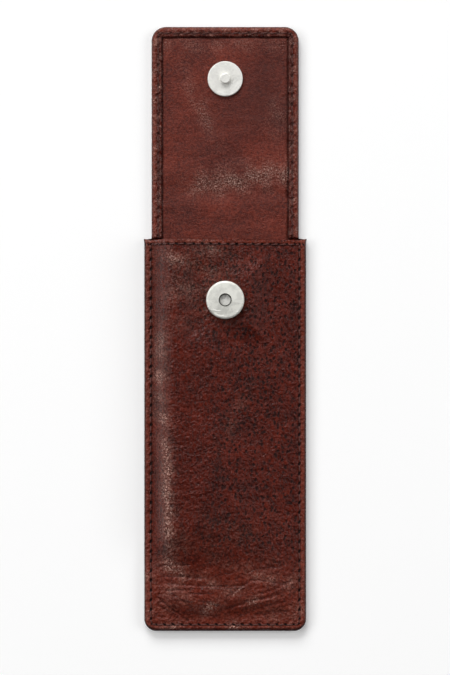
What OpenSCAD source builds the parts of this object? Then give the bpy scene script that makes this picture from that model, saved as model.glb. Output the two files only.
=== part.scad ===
// Single pen sleeve: a sewn leather pocket with a fold-over flap and a magnetic snap.
// It lies open on its back. The origin is the middle of the pocket's back face.
// +X runs across the pocket, +Y from the pocket's foot to the flap's tip, +Z out of its front.

/* [Pocket] */
// Width of the pocket
body_w = 60; // [58:0.5:66]
// Length of the pocket, from its foot to its mouth
body_l = 145; // [138:1:160]
// Radius of the two corners at the pocket's foot
corner_r = 4.6; // [4:0.2:6]
// Width of the flat band that holds the pocket seam
seam_margin = 3; // [3:0.1:3.4]
// Depth of the turned hem inside the mouth
mouth_hem = 5; // [4:0.5:5]
// Drop of the pressed edge all round the front leather
edge_drop = 0.35; // [0.2:0.05:0.5]

/* [Layers] */
// Thickness of the back, spine and flap leather
back_t = 1.2; // [1:0.1:1.4]
// Thickness of the front leather
front_t = 1.2; // [1:0.1:1.4]
// Thickness of the lining on the back, spine and flap
lining_t = 0.6; // [0.6:0.1:0.8]
// Thickness of the lining behind the front leather
front_lining_t = 0.4; // [0.3:0.1:0.5]
// Thickness of the stiffening board
board_t = 0.8; // [0.8:0.1:1]
// Distance of a lining's edge inside the leather's edge
lining_inset = 0.6; // [0.4:0.1:0.8]
// Gap between a board's end and a fold line
board_gap = 1; // [0.6:0.1:1.5]
// Distance of the pocket's board inside the seam band
board_side = 4.2; // [4:0.1:5]

/* [Pen lane] */
// Diameter of the round space that the lane holds
lane_d = 8.4; // [7.6:0.1:9]
// Middle of the lane, measured across the pocket
lane_x = -18.5; // [-19:0.1:-18]
// Length of the lane at its full height, from the mouth
lane_l = 104; // [96:1:108]
// Length over which the lane fades out below that
lane_fade = 24; // [20:1:26]
// Inside height of the pocket where nothing has stretched it
slack = 1.6; // [1.4:0.1:2]
// Crown of the front between the lane and the right seam, beside the lane
belly_lane = 0.45; // [0.3:0.05:0.7]
// Crown of the front near the foot
belly_foot = 1.4; // [1.2:0.1:1.8]
// Length over which the front climbs from the foot's seam band
foot_rise = 8; // [7:0.5:10]

/* [Flap] */
// Width of the flap and of the rise above the mouth
flap_w = 54.6; // [53:0.2:56]
// Length from the mouth to the flap's tip when it lies open
flap_l = 79; // [76:0.5:84]
// Radius of the flap's two corners
flap_corner_r = 5.3; // [4.6:0.1:6.5]
// Width of the turned hem round the flap
hem_w = 3.9; // [3.6:0.1:4.2]
// Height of the turned hem above the lining
hem_step = 0.6; // [0.5:0.1:0.8]
// Radius of the hem's rounded outer edge
edge_r = 1; // [0.7:0.1:1.3]
// Length of the rise, from the mouth to the first fold line
rise_l = 13.6; // [12:0.2:16]
// Gap between the closed flap's hem and the top of the lane
fold_clear = 0.6; // [0.5:0.1:1]

/* [Seams] */
// Distance of the pocket seam from the edge
seam_inset = 2.5; // [2.3:0.1:2.6]
// Distance of the mouth seam from the mouth
mouth_seam_inset = 1.8; // [1.6:0.1:2.2]
// Distance of the flap seam from the flap's edge
flap_seam_inset = 2.5; // [2.2:0.1:2.8]
// Stitch pitch along the pocket's sides and the flap
long_pitch = 3.6; // [3:0.1:4.2]
// Stitch pitch across the mouth and the foot
cross_pitch = 3.2; // [2.8:0.1:3.8]
// Length of one stitch
stitch_l = 2.2; // [1.8:0.1:2.4]
// Width of the thread
thread_w = 0.7; // [0.5:0.05:0.8]
// Height of a stitch above the leather
thread_h = 0.2; // [0.15:0.05:0.3]

/* [Snap] */
// Distance of the snap's socket from the mouth
snap_drop = 22.4; // [21:0.2:24]
// Outer diameter of the socket
socket_d = 14; // [13.4:0.2:14.4]
// Height of the socket
socket_h = 3; // [2.8:0.1:3.2]
// Diameter of the socket's hole
socket_hole_d = 4.8; // [4.6:0.1:5.2]
// Wall of the socket's shell
shell_wall = 0.4; // [0.3:0.05:0.5]
// Thickness of the socket's face
shell_face = 0.5; // [0.4:0.05:0.6]
// Radius of the rim round the socket's face
rim_r = 0.8; // [0.6:0.05:0.9]
// Thickness of the socket's base disc
base_t = 0.5; // [0.4:0.05:0.6]
// Diameter of the pole in the socket's hole
pole_d = 4; // [3.6:0.1:4.2]
// Height of the pole above the base disc
pole_h = 0.6; // [0.5:0.05:0.7]
// Diameter of the stud's plate
stud_d = 13; // [12.4:0.2:13.4]
// Thickness of the stud's plate
stud_t = 1; // [0.9:0.05:1.1]
// Diameter of the stud's post
post_d = 3.8; // [3.4:0.1:4]
// Height of the stud's post
post_h = 1.5; // [1.3:0.05:1.5]
// Radius of the post's rounded end
post_round = 0.4; // [0.3:0.05:0.5]
// Diameter of the rivet shanks through the snap's plates
shank_d = 2; // [1.6:0.1:2.2]
// Thickness of the pronged strips and their washers
prong_t = 0.4; // [0.3:0.02:0.4]
// Width of a prong
prong_w = 2.4; // [2:0.1:2.8]
// Distance between a strip's two prongs
prong_span = 7; // [6.6:0.1:7.2]
// Length of a prong's folded end
prong_fold = 1.6; // [1.2:0.1:1.6]
// Diameter of a backing washer
washer_d = 11.5; // [11.4:0.1:12]
// Gap round a prong in its slit
slit_clear = 0.1; // [0.05:0.05:0.2]
// Gap between the closed snap's two halves
snap_gap = 0.2; // [0.15:0.05:0.3]

/* [Hidden] */
$fn = 48;
eps = 0.01;
lane_steps = 12;
slope_steps = 5;
fade_steps = 6;
corner_step = 18;
stitch_end = 1;
fold_stitch_gap = 0.8;
window_clear = 0.4;

mouth_y = body_l / 2;
foot_y = -body_l / 2;
fold_a = mouth_y + rise_l;
tip_y = mouth_y + flap_l;
seam_x = body_w / 2 - seam_margin;
pit_w = flap_w - 2 * hem_w;
lining_z = back_t + board_t + lining_t;
hem_z = lining_z + hem_step;
cover_t = front_t + front_lining_t;
band_z = back_t + lining_t + cover_t;
lane_z = lining_z + lane_d + cover_t;
spine_l = lane_z + fold_clear - hem_z;
fold_b = fold_a + spine_l;
pole_top = socket_h - shell_face;

// The closed flap lies upside down at this height, for a face at height z on the open flap
function closed_z(z) = 2 * hem_z + spine_l - z;

seat_z = closed_z(lining_z + stud_t) - snap_gap - socket_h;
socket_y = mouth_y - snap_drop;
stud_y = fold_a + fold_b - socket_y;
seat_half = socket_d / 2 + edge_drop + 0.25;
seat_blend = 9;
dip_blend = 4;
dip = 2 * prong_t + 2 * eps;
pocket_board_w = 2 * (seam_x - board_side);
pit_board_w = pit_w - 2 * lining_t;
board_foot = foot_y + corner_r + foot_rise;

leather = "#5b2a24";
lining = "#6d3a31";
board = "#b49c78";
thread = "#5c3026";
nickel = "#cfcdc4";
steel = "#a09c92";
ferrite = "#3b3a3c";

function smooth(t) = let (c = min(1, max(0, t))) c * c * (3 - 2 * c);
function mix(a, b, t) = a + (b - a) * t;
function steps(a, b, n) = [for (i = [1:n]) mix(a, b, i / n)];

// The front's cross-section: leather drawn tight from the left seam over the round lane, then down
// to the right seam. The lane's radius shrinks to half the slack below the lane's end.
function lane_full(y) = smooth((y - (mouth_y - lane_l - lane_fade)) / lane_fade);
function lane_r(y) = mix(slack, lane_d, lane_full(y)) / 2;
function belly(y) = mix(belly_foot, belly_lane, lane_full(y));
function wrap_angle(run, rise, r) = atan2(rise, run) + asin(r / norm([run, rise]));
function near_snap(x, y, blend) = 1 - smooth((max(abs(x), abs(y - socket_y)) - seat_half) / blend);
function half_w(y) =
    let (d = foot_y + corner_r - y)
    body_w / 2 - (d > 0 ? corner_r - sqrt(max(0, corner_r * corner_r - d * d)) : 0);

function slope_xs(from) = concat(
    steps(from, -seat_half, slope_steps - 1),
    steps(-seat_half, seat_half, 3),
    steps(seat_half, seam_x, slope_steps + 1));

function slope_z(x, y, from) =
    let (s = (x - from.x) / (seam_x - from.x))
    let (crown = belly(y) * (1 - pow(2 * s - 1, 4)))
    mix(mix(from.y, band_z, s) + crown, seat_z, near_snap(x, y, seat_blend));

function section(y) =
    let (r = lane_r(y) + cover_t, c = [lane_x, lining_z + lane_r(y)])
    let (left = wrap_angle(lane_x + seam_x, c.y - band_z, r))
    let (right = wrap_angle(seam_x - lane_x, c.y - band_z, r))
    let (arc = [for (a = concat([-left], steps(-left, right, lane_steps))) c + r * [sin(a), cos(a)]])
    let (from = arc[lane_steps])
    let (start = [-seam_x, band_z])
    let (edge = [body_w / 2 - edge_drop, band_z])
    let (climb = smooth((y - foot_y - corner_r) / foot_rise))
    let (line = concat(
        [[-body_w / 2, band_z], [-edge.x, band_z], start, mix(start, arc[0], 0.5)],
        arc,
        [for (x = slope_xs(from.x)) [x, slope_z(x, y, from)]],
        [edge, [body_w / 2, band_z]]))
    [for (p = line) [p.x * half_w(y) / (body_w / 2), mix(band_z, p.y, climb)]];

// A section moved in by t, square to its own line
function normal(a, b) = let (d = b - a) [-d.y, d.x] / norm(d);
function inward(p, t) = [for (i = [0:len(p) - 1])
    let (a = i > 0 ? normal(p[i - 1], p[i]) : normal(p[0], p[1]))
    let (b = i < len(p) - 1 ? normal(p[i], p[i + 1]) : a)
    p[i] - t * (a + b) / (1 + a * b)];

hem_y = mouth_y - mouth_hem;
lane_end = mouth_y - lane_l;
rows = concat(
    [for (a = [90:-corner_step:0]) foot_y + corner_r * (1 - sin(a))],
    steps(foot_y + corner_r, foot_y + corner_r + foot_rise, 4),
    steps(foot_y + corner_r + foot_rise, lane_end, fade_steps),
    steps(lane_end, socket_y - seat_half - seat_blend, 2),
    steps(socket_y - seat_half - seat_blend, socket_y - seat_half, 3),
    steps(socket_y - seat_half, socket_y + seat_half, 2),
    steps(socket_y + seat_half, hem_y - eps, 3));

function lift(line, y) = [for (p = line) [p.x, y, p.y]];
function drop_ends(line, d) = [for (i = [0:len(line) - 1])
    line[i] - [0, i == 0 || i == len(line) - 1 ? d : 0]];

// A sheet between an upper and a lower grid of points, both with rows along +Y
module sheet(upper, lower) {
    n = len(upper);
    m = len(upper[0]);
    function top(i, j) = i * m + j;
    function low(i, j) = n * m + i * m + j;
    faces = concat(
        [for (i = [0:n - 2], j = [0:m - 2]) each [
            [top(i, j), top(i + 1, j), top(i + 1, j + 1)],
            [top(i, j), top(i + 1, j + 1), top(i, j + 1)],
            [low(i, j), low(i + 1, j + 1), low(i + 1, j)],
            [low(i, j), low(i, j + 1), low(i + 1, j + 1)]]],
        [for (j = [0:m - 2]) each [
            [top(0, j), top(0, j + 1), low(0, j + 1)],
            [top(0, j), low(0, j + 1), low(0, j)],
            [top(n - 1, j), low(n - 1, j + 1), top(n - 1, j + 1)],
            [top(n - 1, j), low(n - 1, j), low(n - 1, j + 1)]]],
        [for (i = [0:n - 2]) each [
            [top(i + 1, 0), top(i, 0), low(i, 0)],
            [top(i + 1, 0), low(i, 0), low(i + 1, 0)],
            [top(i, m - 1), top(i + 1, m - 1), low(i + 1, m - 1)],
            [top(i, m - 1), low(i + 1, m - 1), low(i, m - 1)]]]);
    polyhedron([for (row = concat(upper, lower)) each row], faces);
}

// Outline of the pocket, drawn in by an inset
module pocket_outline(inset) {
    w = body_w - 2 * inset;
    r = corner_r - inset;
    translate([-w / 2, foot_y + corner_r]) square([w, body_l - corner_r]);
    translate([-w / 2 + r, foot_y + inset]) square([w - 2 * r, body_l - inset]);
    for (s = [-1, 1]) translate([s * (w / 2 - r), foot_y + corner_r]) circle(r);
}

// Cross-section of a turned hem: the leather comes round the edge and back over the lining
module hem_profile() {
    translate([edge_r, 0]) square([hem_w - edge_r, hem_z]);
    translate([0, edge_r]) square([edge_r, hem_z - 2 * edge_r]);
    translate([edge_r, edge_r]) circle(edge_r);
    translate([edge_r, hem_z - edge_r]) circle(edge_r);
}

// Two side hems and the leather between them, from y0 to y1
module hemmed_strip(y0, y1) {
    for (s = [0, 1]) mirror([s, 0, 0])
        translate([-flap_w / 2, y1, 0]) rotate([90, 0, 0]) linear_extrude(y1 - y0) hem_profile();
    translate([-pit_w / 2 - edge_r, y0, 0]) cube([pit_w + 2 * edge_r, y1 - y0, back_t]);
}

// A layer's slab on top of the leather, of the given width and height, from y0 to y1
module slab(w, y0, y1, h) {
    translate([-w / 2, y0, back_t]) cube([w, y1 - y0, h]);
}

// The pocket's board runs on over the rise, at that strip's own width
module back_board_form() {
    slab(pocket_board_w, board_foot, mouth_y, board_t);
    slab(pit_board_w, mouth_y, fold_a - board_gap, board_t);
}

// Row of stitches along a line of [across, height] or [x, y] points, each drawn by its children
function line_length(p) = len(p) < 2 ? 0
    : norm(p[1] - p[0]) + line_length([for (i = [1:len(p) - 1]) p[i]]);
function along(p, s, i = 0) =
    let (d = norm(p[i + 1] - p[i]))
    s <= d || i == len(p) - 2
        ? [mix(p[i], p[i + 1], s / d), atan2(p[i + 1].y - p[i].y, p[i + 1].x - p[i].x)]
        : along(p, s - d, i + 1);
function places(length, pitch) =
    let (n = floor(length / pitch))
    [for (i = [0:n - 1]) (length - (n - 1) * pitch) / 2 + i * pitch];

module stitch() {
    translate([-stitch_l / 2, -thread_w / 2, 0]) cube([stitch_l, thread_w, thread_h]);
}

module flat_row(a, b, z, pitch) {
    for (s = places(norm(b - a), pitch))
        let (at = along([a, b], s))
        translate([at[0].x, at[0].y, z]) rotate(at[1]) stitch();
}

module side_rows(x, y0, y1, z) {
    for (s = [-1, 1]) flat_row([s * x, y0], [s * x, y1], z, long_pitch);
}

module back_leather() {
    color(leather) union() {
        linear_extrude(back_t) pocket_outline(0);
        hemmed_strip(mouth_y, fold_a);
        translate([-pit_w / 2, mouth_y - 1, 0]) cube([pit_w, 2, back_t]);
    }
}

module back_board() {
    color(board) back_board_form();
}

module back_lining() {
    color(lining) difference() {
        union() {
            translate([0, 0, back_t]) linear_extrude(lining_t) intersection() {
                pocket_outline(lining_inset);
                translate([-body_w / 2, foot_y]) square([body_w, body_l]);
            }
            slab(pocket_board_w + 2 * lining_t, board_foot - lining_t, mouth_y, board_t + lining_t);
            slab(pit_w, mouth_y, fold_a, board_t + lining_t);
        }
        back_board_form();
    }
}

// Prong slits, open from the seat down through a sheet of the given thickness
module slits(through) {
    size = [prong_t + 2 * slit_clear, prong_w + 2 * slit_clear, through + 2 * eps];
    for (s = [-1, 1])
        translate([s * (prong_span + prong_t) / 2 - size.x / 2, -size.y / 2, -through - eps]) cube(size);
}

module front_leather() {
    hem_rows = [hem_y, mouth_y - edge_drop];
    last = len(rows) - 1;
    upper = concat(
        [for (i = [0:last]) lift(drop_ends(inward(section(rows[i]), i == 0 ? edge_drop : 0),
            i == 0 ? 0 : edge_drop), rows[i])],
        [for (y = hem_rows) lift(drop_ends(section(y), edge_drop), y)],
        [lift(inward(section(mouth_y), edge_drop), mouth_y)]);
    lower = concat(
        [for (y = rows) lift(inward(section(y), front_t), y)],
        [for (y = concat(hem_rows, [mouth_y])) lift(inward(section(y), cover_t), y)]);
    color(leather) difference() {
        sheet(upper, lower);
        translate([0, socket_y, seat_z]) slits(front_t);
    }
}

module front_lining() {
    lining_rows = [for (i = [0:len(rows) - 1]) i == 0 ? foot_y + lining_inset / 2 : rows[i]];
    function trimmed(line, y) = [for (p = line) [max(-limit(y), min(limit(y), p.x)), p.y]];
    function limit(y) = half_w(y) - lining_inset;
    function inner(line) = [for (j = [1:len(line) - 2]) line[j]];
    function dipped(line, y) = [for (p = line) p - [0, dip * near_snap(p.x, y, dip_blend)]];
    function layer(y, t) = lift(trimmed(dipped(inner(inward(section(y), t)), y), y), y);
    color(lining) sheet([for (y = lining_rows) layer(y, front_t)], [for (y = lining_rows) layer(y, cover_t)]);
}

module pocket_seam_thread() {
    x = body_w / 2 - seam_inset;
    y = foot_y + seam_inset;
    color(thread) {
        side_rows(x, y + stitch_end, mouth_y - mouth_seam_inset - stitch_end, band_z);
        flat_row([-x + stitch_end, y], [x - stitch_end, y], band_z, cross_pitch);
    }
}

module mouth_seam_thread() {
    y = mouth_y - mouth_seam_inset;
    line = [for (p = section(y)) if (abs(p.x) <= seam_x + eps) p];
    color(thread) for (s = places(line_length(line), cross_pitch))
        let (at = along(line, s))
        translate([at[0].x, y, at[0].y]) rotate([0, -at[1], 0]) translate([0, 0, 2 * eps]) stitch();
}

module rise_seam_thread() {
    color(thread) side_rows(flap_w / 2 - flap_seam_inset, mouth_y, fold_a - fold_stitch_gap, hem_z);
}

// Snap pieces are drawn with the seat of the snap at z = 0
module socket_shell_form() {
    rotate_extrude() difference() {
        union() {
            square([socket_d / 2, socket_h - rim_r]);
            square([socket_d / 2 - rim_r, socket_h]);
            translate([socket_d / 2 - rim_r, socket_h - rim_r]) circle(rim_r);
        }
        translate([-1, -1]) square([socket_d / 2 - shell_wall + 1, pole_top + 1]);
        translate([-1, -1]) square([socket_hole_d / 2 + 1, socket_h + 2]);
    }
}

module ring(od, id, h) {
    difference() {
        cylinder(d = od, h = h);
        translate([0, 0, -1]) cylinder(d = id, h = h + 2);
    }
}

module prong_strip(through) {
    reach = prong_span / 2 + prong_t;
    depth = through + 2 * prong_t;
    difference() {
        translate([-reach, -prong_w / 2, 0]) cube([2 * reach, prong_w, prong_t]);
        translate([0, 0, -1]) cylinder(d = shank_d, h = prong_t + 2);
    }
    for (s = [0, 1]) mirror([s, 0, 0]) {
        translate([prong_span / 2, -prong_w / 2, -depth]) cube([prong_t, prong_w, depth + prong_t]);
        translate([prong_span / 2, -prong_w / 2, -depth]) cube([prong_t + prong_fold, prong_w, prong_t]);
    }
}

module washer_form(through) {
    difference() {
        translate([0, 0, -through - prong_t]) ring(washer_d, shank_d + 1, prong_t);
        translate([0, 0, -through]) slits(prong_t);
    }
}

module at_socket() {
    translate([0, socket_y, seat_z]) children();
}

module at_stud() {
    translate([0, stud_y, lining_z]) children();
}

module socket_shell() {
    color(nickel) at_socket() socket_shell_form();
}

module socket_base() {
    color(steel) at_socket() translate([0, 0, prong_t])
        ring(socket_d - 2 * shell_wall, shank_d, base_t);
}

module socket_magnet() {
    base_top = prong_t + base_t;
    color(ferrite) at_socket() translate([0, 0, base_top])
        ring(socket_d - 2 * shell_wall, socket_hole_d + 2 * shell_wall, pole_top - base_top);
}

module socket_pole() {
    color(nickel) at_socket() {
        cylinder(d = shank_d, h = prong_t + base_t + eps);
        translate([0, 0, prong_t + base_t]) cylinder(d = pole_d, h = pole_h);
    }
}

module socket_prongs() {
    color(steel) at_socket() prong_strip(front_t);
}

module socket_washer() {
    color(steel) at_socket() washer_form(front_t);
}

module spine_leather() {
    color(leather) hemmed_strip(fold_a, fold_b);
}

module spine_lining() {
    color(lining) slab(pit_w, fold_a, fold_b, lining_t);
}

module spine_seam_thread() {
    color(thread) side_rows(flap_w / 2 - flap_seam_inset, fold_a + fold_stitch_gap,
        fold_b - fold_stitch_gap, hem_z);
}

module flap_leather() {
    pit_end = tip_y - hem_w;
    arc_x = flap_w / 2 - flap_corner_r;
    arc_y = tip_y - flap_corner_r;
    color(leather) difference() {
        union() {
            hemmed_strip(fold_b, arc_y);
            translate([arc_x, tip_y, 0]) rotate([90, 0, -90]) linear_extrude(2 * arc_x) hem_profile();
            for (s = [0, 1]) mirror([s, 0, 0])
                translate([arc_x, arc_y, 0]) rotate_extrude(angle = 90)
                    translate([flap_corner_r, 0]) mirror([1, 0]) hem_profile();
            translate([-pit_w / 2 - edge_r, arc_y - 1, 0])
                cube([pit_w + 2 * edge_r, flap_corner_r - hem_w + edge_r + 1, back_t]);
        }
        translate([-pit_w / 2, fold_b - 1, back_t]) cube([pit_w, pit_end - fold_b + 1, hem_z]);
    }
}

module flap_board() {
    color(board) difference() {
        slab(pit_board_w, fold_b + board_gap, tip_y - hem_w - lining_t, board_t);
        at_stud() translate([0, 0, -lining_z]) cylinder(d = washer_d + 2 * window_clear, h = lining_z);
    }
}

module flap_lining() {
    color(lining) difference() {
        slab(pit_w, fold_b, tip_y - hem_w, board_t + lining_t);
        slab(pit_board_w, fold_b + board_gap, tip_y - hem_w - lining_t, board_t);
        at_stud() slits(lining_t);
    }
}

module flap_seam_thread() {
    x = flap_w / 2 - flap_seam_inset;
    y = tip_y - flap_seam_inset;
    color(thread) {
        side_rows(x, fold_b + fold_stitch_gap, y - stitch_end, hem_z);
        flat_row([-x + stitch_end, y], [x - stitch_end, y], hem_z, long_pitch);
    }
}

module stud_plate() {
    edge = stud_t / 3;
    recess = [prong_span + 2 * prong_t, prong_w, prong_t];
    color(nickel) at_stud() difference() {
        rotate_extrude() {
            square([stud_d / 2 - edge, stud_t]);
            square([stud_d / 2, stud_t - edge]);
            translate([stud_d / 2 - edge, stud_t - edge]) circle(edge);
        }
        translate([0, 0, -1]) cylinder(d = shank_d, h = stud_t + 2);
        translate([-recess.x / 2, -recess.y / 2, -1]) cube(recess + [0, 0, 1]);
    }
}

module stud_post() {
    color(nickel) at_stud() {
        cylinder(d = shank_d, h = stud_t + eps);
        translate([0, 0, stud_t]) rotate_extrude() {
            square([post_d / 2 - post_round, post_h]);
            square([post_d / 2, post_h - post_round]);
            translate([post_d / 2 - post_round, post_h - post_round]) circle(post_round);
        }
    }
}

module stud_prongs() {
    color(steel) at_stud() prong_strip(lining_t);
}

module stud_washer() {
    color(steel) at_stud() washer_form(lining_t);
}

back_leather();
back_board();
back_lining();
front_leather();
front_lining();
pocket_seam_thread();
mouth_seam_thread();
rise_seam_thread();
socket_shell();
socket_magnet();
socket_base();
socket_pole();
socket_prongs();
socket_washer();
spine_leather();
spine_lining();
spine_seam_thread();
flap_leather();
flap_board();
flap_lining();
flap_seam_thread();
stud_plate();
stud_post();
stud_prongs();
stud_washer();
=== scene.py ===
# %% [markdown]
# # A leather pen sleeve
#
# This lesson dresses the packed model of a sewn pen sleeve. The sleeve is a long pocket with a
# fold-over flap and a magnetic snap, and it lies open on its back. The packed model has every piece at
# its real size, so it is loaded first, and each skin made here takes the place of one of its solids.
# Lengths are in millimetres until a mesh is made, because the piece's own numbers read best that way.

import math

import bpy
import numpy as np
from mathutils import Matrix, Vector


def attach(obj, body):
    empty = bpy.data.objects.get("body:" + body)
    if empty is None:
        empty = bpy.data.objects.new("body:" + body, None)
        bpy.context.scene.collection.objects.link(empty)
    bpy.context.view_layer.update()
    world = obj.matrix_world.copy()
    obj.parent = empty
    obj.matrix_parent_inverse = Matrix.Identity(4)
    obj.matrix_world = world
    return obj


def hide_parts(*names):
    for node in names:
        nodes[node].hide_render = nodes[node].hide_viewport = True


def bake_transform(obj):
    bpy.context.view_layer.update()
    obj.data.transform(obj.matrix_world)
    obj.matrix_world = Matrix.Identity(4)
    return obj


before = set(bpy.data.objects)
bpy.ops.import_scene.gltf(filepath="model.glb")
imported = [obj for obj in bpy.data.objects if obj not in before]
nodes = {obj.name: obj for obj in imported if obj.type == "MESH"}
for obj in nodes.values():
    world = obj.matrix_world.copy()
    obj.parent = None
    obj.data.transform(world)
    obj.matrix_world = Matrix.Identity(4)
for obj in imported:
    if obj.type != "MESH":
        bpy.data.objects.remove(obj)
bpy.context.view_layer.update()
MM = 0.001

# %% [markdown]
# ## The sleeve's own sizes
#
# These are the sizes that the solids were built from. The skins repeat them, so that they lie on the
# solids: the pocket with its round lane, the flap with its turned hem, and the two fold lines.

# %% Sizes in millimetres
body_half, foot_y, mouth_y, corner_r = 30.0, -72.5, 72.5, 4.6
flap_half, tip_y, flap_corner_r, hem_w, hem_z = 27.3, 151.5, 5.3, 3.9, 3.2
fold_a, fold_b, fold_z = 86.1, 96.1, 3.2
mid_spine = (fold_a + fold_b) / 2
back_t, board_t, lining_t, front_t, front_lining_t = 1.2, 0.8, 0.6, 1.2, 0.4
lining_z = back_t + board_t + lining_t
cover_t = front_t + front_lining_t
band_z = back_t + lining_t + cover_t
lane_x, lane_d, lane_l, lane_fade, slack = -18.5, 8.4, 104.0, 24.0, 1.6
seam_x, foot_rise, belly_lane, belly_foot = 27.0, 8.0, 0.45, 1.4
socket_y, seat_z, seat_half, seat_blend = 50.1, 9.6, 7.6, 9.0
stud_y = fold_a + fold_b - socket_y
mouth_hem = 5.0
print("mid spine", mid_spine, "stud", stud_y, "seam band", band_z)


# %% [markdown]
# ## Camera, floor and light
#
# The sleeve is seen from straight above, nearly a metre away, with the flap towards the top. The lens
# is long, so the sleeve's sides stay parallel. The floor is white, and it shines a little on its own
# for the camera and for reflections only, so the paper looks white and still takes the shadow.

# %% Camera
# In metres: how much of the sleeve's length fills the picture, and the height where that holds
VIEW_HEIGHT, HEM_TOP = 0.250, 0.003
SENSOR = 36.0
camera_at = (-0.00007, 0.0363, 0.9)
camera = bpy.data.objects.new("camera", bpy.data.cameras.new("camera"))
bpy.context.scene.collection.objects.link(camera)
camera.location = camera_at
camera.data.sensor_width = SENSOR
camera.data.lens = SENSOR * (camera_at[2] - HEM_TOP) / VIEW_HEIGHT
camera.data.clip_start, camera.data.clip_end = 0.01, 20
bpy.context.scene.camera = camera
bpy.context.scene.view_settings.view_transform = "Standard"
print("lens", round(camera.data.lens, 1))


# %% [markdown]
# ### Writing materials as sums
#
# Every finish below is a few patterns added and multiplied. In Blender's node editor each sum would be
# a Math node that is linked by hand. Here a small class holds one socket of a node, and Python's own
# operators on it add the Math nodes, so a finish reads like a formula.

# %% A socket that can be added and multiplied
class Wire:
    """One output socket; sums and products of wires add Math nodes."""

    def __init__(self, finish, socket):
        self.finish, self.socket = finish, socket

    def maths(self, operation, *values):
        return self.finish.node("ShaderNodeMath", {"operation": operation}, dict(enumerate(values)))

    def __add__(self, other):
        return self.maths("ADD", self, other)

    def __radd__(self, other):
        return self.maths("ADD", other, self)

    def __sub__(self, other):
        return self.maths("SUBTRACT", self, other)

    def __rsub__(self, other):
        return self.maths("SUBTRACT", other, self)

    def __mul__(self, other):
        return self.maths("MULTIPLY", self, other)

    def __rmul__(self, other):
        return self.maths("MULTIPLY", other, self)

    def between(self, low, high):
        """0 where this is under low, 1 over high, and a smooth step from one to the other."""
        settings = {"interpolation_type": "SMOOTHSTEP"}
        return self.finish.node("ShaderNodeMapRange", settings, {0: self, 1: low, 2: high})


print("reflected operators", [name for name in vars(Wire) if name.startswith("__r")])


# %% [markdown]
# ### One method for every other node
#
# A Finish is a material while it is being mixed. Its node method adds a node of any type. The settings
# come first, because they can change which sockets the node has, and then each socket takes a value or a
# wire. The other methods are short names for patterns that leather and metal need.
#
# One of them draws the stitch holes. On the mesh each point holds how many stitches along a seam it is
# and how many millimetres beside it, and every whole stitch gets a slanted oval hole, painted dark as the
# shade inside it. That keeps a hole sharp although it is smaller than the mesh's own steps.

# %% A material that is being mixed
HOLE_LONG, HOLE_SHORT, HOLE_TURN = 0.92, 0.42, math.radians(-17)
# One stitch in millimetres, near enough for every seam
HOLE_PITCH = 3.5


class Finish:
    """A material that is being mixed; node adds any node, the rest are short names for patterns."""

    def __init__(self, name):
        self.material = bpy.data.materials.new(name)
        self.material.use_nodes = True
        self.tree = self.material.node_tree
        self.tree.nodes.clear()

    def node(self, kind, settings=None, inputs=None, out=0):
        made = self.tree.nodes.new(kind)
        for key, value in (settings or {}).items():
            setattr(made, key, value)
        for key, value in (inputs or {}).items():
            socket = made.inputs[key]
            if isinstance(value, Wire):
                self.tree.links.new(value.socket, socket)
            elif socket.type == "RGBA" and len(value) == 3:
                socket.default_value = (*value, 1)
            else:
                socket.default_value = value
        return Wire(self, made.outputs[out]) if made.outputs else None

    def held(self, name, out=0):
        """What the mesh holds under this name: 0 is its colour or vector, 2 its number."""
        return self.node("ShaderNodeAttribute", {"attribute_name": name}, out=out)

    def noise(self, place, scale, detail=3.0, rough=0.55, stretch=None):
        if stretch:
            place = self.node("ShaderNodeVectorMath", {"operation": "MULTIPLY"}, {0: place, 1: stretch})
        inputs = {"Vector": place, "Scale": scale, "Detail": detail, "Roughness": rough}
        return self.node("ShaderNodeTexNoise", None, inputs)

    def cells(self, place, scale, feature="F1", randomness=1.0):
        inputs = {"Vector": place, "Scale": scale, "Randomness": randomness}
        return self.node("ShaderNodeTexVoronoi", {"feature": feature}, inputs)

    def mixed(self, share, first, second):
        return self.node("ShaderNodeMix", {"data_type": "RGBA"}, {0: share, 6: first, 7: second}, out=2)

    def holes(self, seam=""):
        """Slanted holes at every whole stitch of a seam, a mask for painted shade; its names start with seam
        on the mesh.
        """
        stitch, beside, sewn = (self.held(seam + key, 2) for key in ("stitch", "beside", "sewn"))
        shifted = stitch + 0.5
        along = (shifted.maths("FRACT", shifted) - 0.5) * HOLE_PITCH
        long_way = along * math.cos(HOLE_TURN) + beside * math.sin(HOLE_TURN)
        short_way = beside * math.cos(HOLE_TURN) - along * math.sin(HOLE_TURN)
        size = long_way * long_way * (1 / HOLE_LONG ** 2) + short_way * short_way * (1 / HOLE_SHORT ** 2)
        return (1 - size.between(0.5, 1.5)) * sewn

    def relief(self, height, depth, under=None):
        inputs = {"Height": height, "Distance": depth}
        if under:
            inputs["Normal"] = under
        return self.node("ShaderNodeBump", None, inputs)

    def surface(self, **inputs):
        named = {key.replace("_", " "): value for key, value in inputs.items()}
        shader = self.node("ShaderNodeBsdfPrincipled", None, named)
        self.node("ShaderNodeOutputMaterial", None, {"Surface": shader})
        return self.material


print("short names", [name for name in vars(Finish) if not name.startswith("_")])


# %% [markdown]
# ### White floor
#
# In the studio the sleeve lies on white paper. Paper that only scatters light would look grey under
# these lamps, and stronger lamps would wash out the leather. So the paper shines a little on its own, but
# only for rays from the camera, from reflections and through clear things. The light on the sleeve stays
# as it is, and so does the shadow on the paper.

# %% White floor that keeps the shadow
PAPER_WHITE, PAPER_GLOW = (0.88, 0.88, 0.88), 0.205
FLOOR_HALF, FLOOR_DROP = 3.0, 0.0001


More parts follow.
